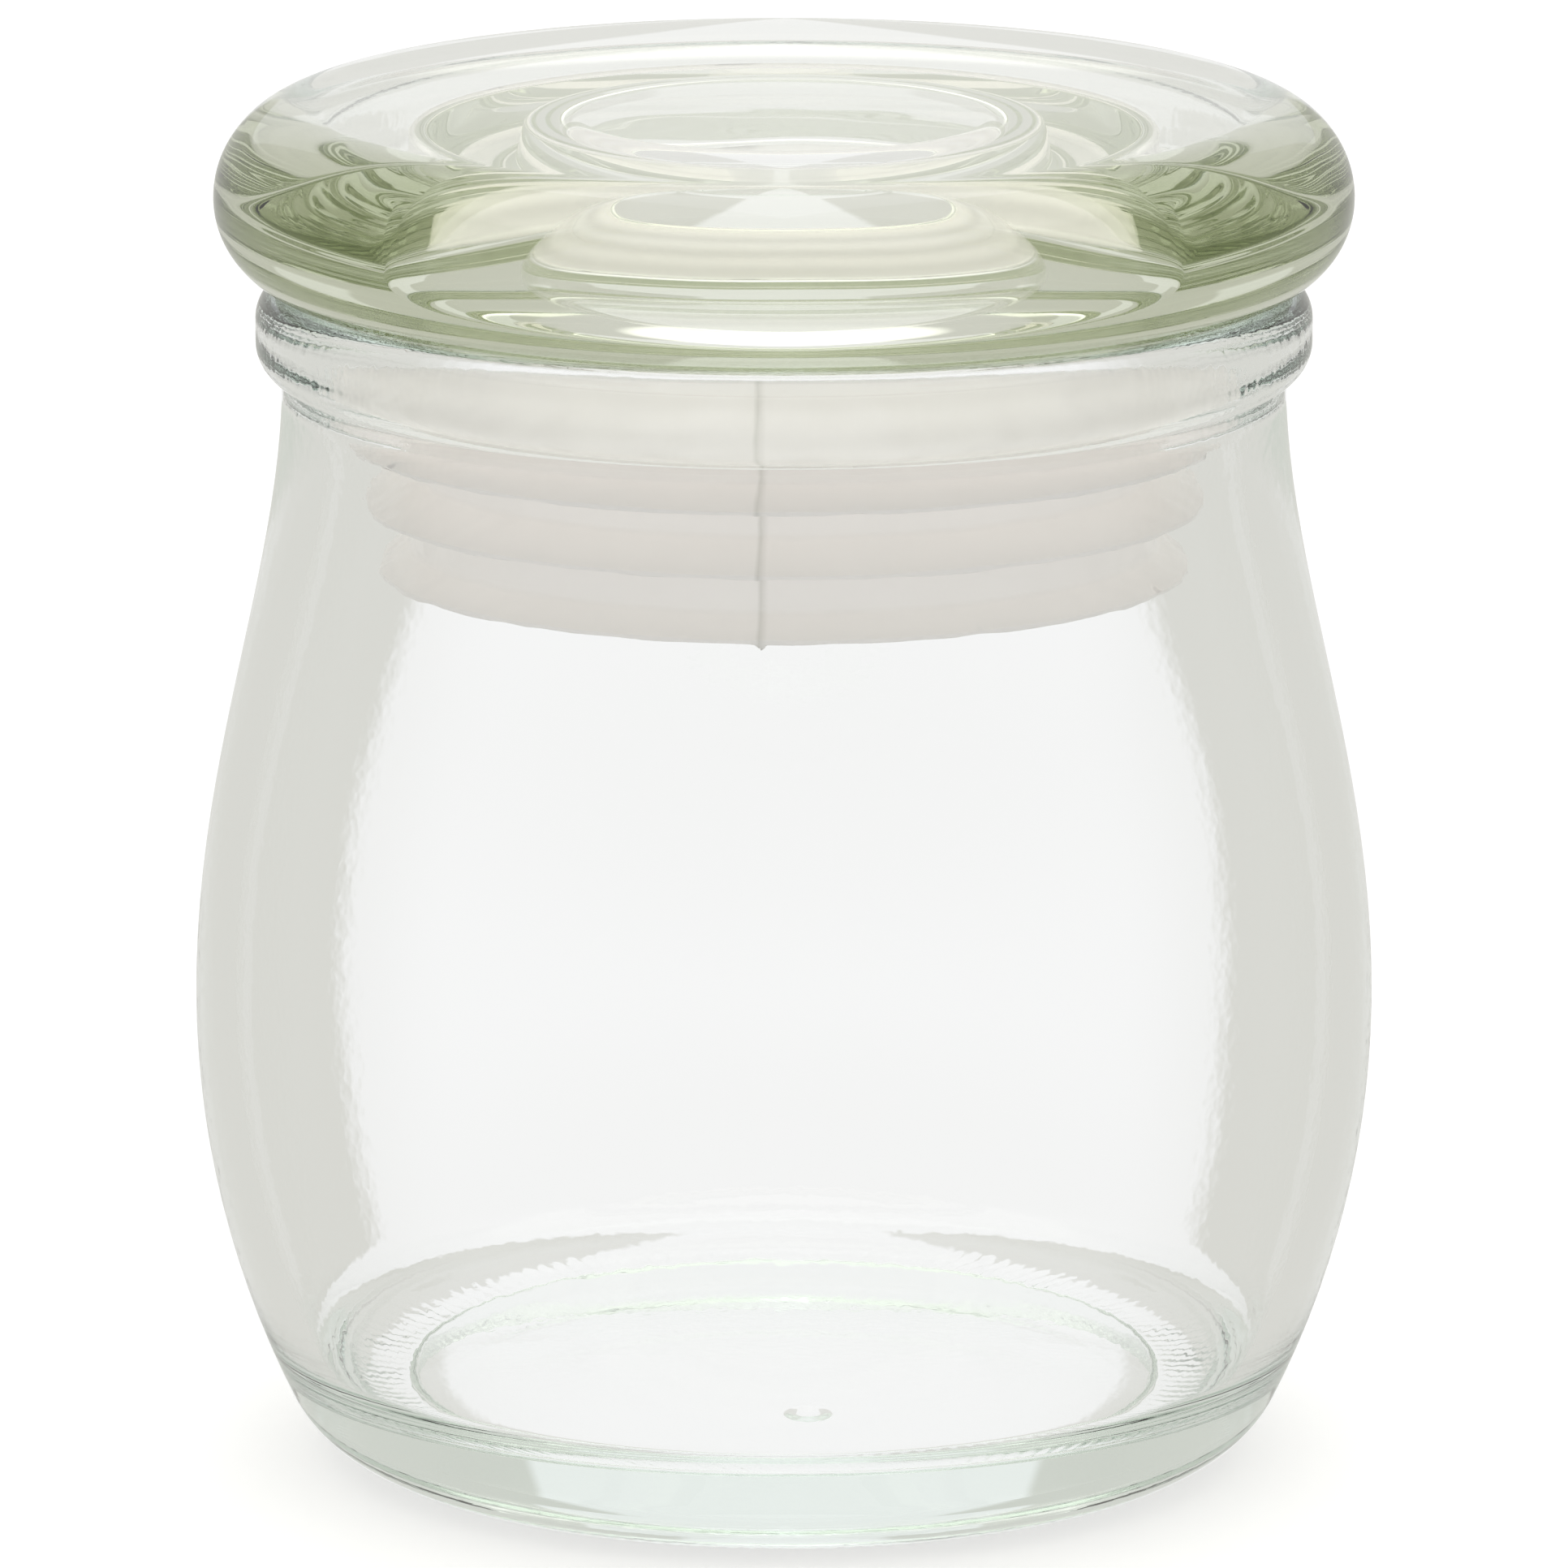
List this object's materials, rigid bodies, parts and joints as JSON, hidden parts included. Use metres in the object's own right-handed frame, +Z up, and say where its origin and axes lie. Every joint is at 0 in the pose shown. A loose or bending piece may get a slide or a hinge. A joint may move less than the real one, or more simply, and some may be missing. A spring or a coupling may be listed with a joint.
{
  "type": "round glass jar with lid",
  "caption": "Small round bellied jar of clear glass with a beaded mouth, closed by a thick glass lid whose hollow plug carries a finned translucent plastic gasket. Empty.",
  "frame": {"origin": "centre of the ring that the jar stands on, at the height of that ring", "axes": "+Z up along the axis of the jar and lid; the jar is round, so X and Y are any two level directions, and the seam of the gasket faces -Y"},
  "size_m": [0.07, 0.07, 0.0814],
  "materials": {
    "jar_glass": "clear soda-lime glass with a faint blue-green tint, fire polished outside, softly rippled inside",
    "lid_glass": "clear pressed glass with a faint yellow-green tint, fire polished",
    "gasket_plastic": "cloudy translucent polyethylene, satin"
  },
  "bodies": {
    "root": {"jar": "jar_glass", "lid": "lid_glass", "gasket": "gasket_plastic"}
  },
  "joints": []
}
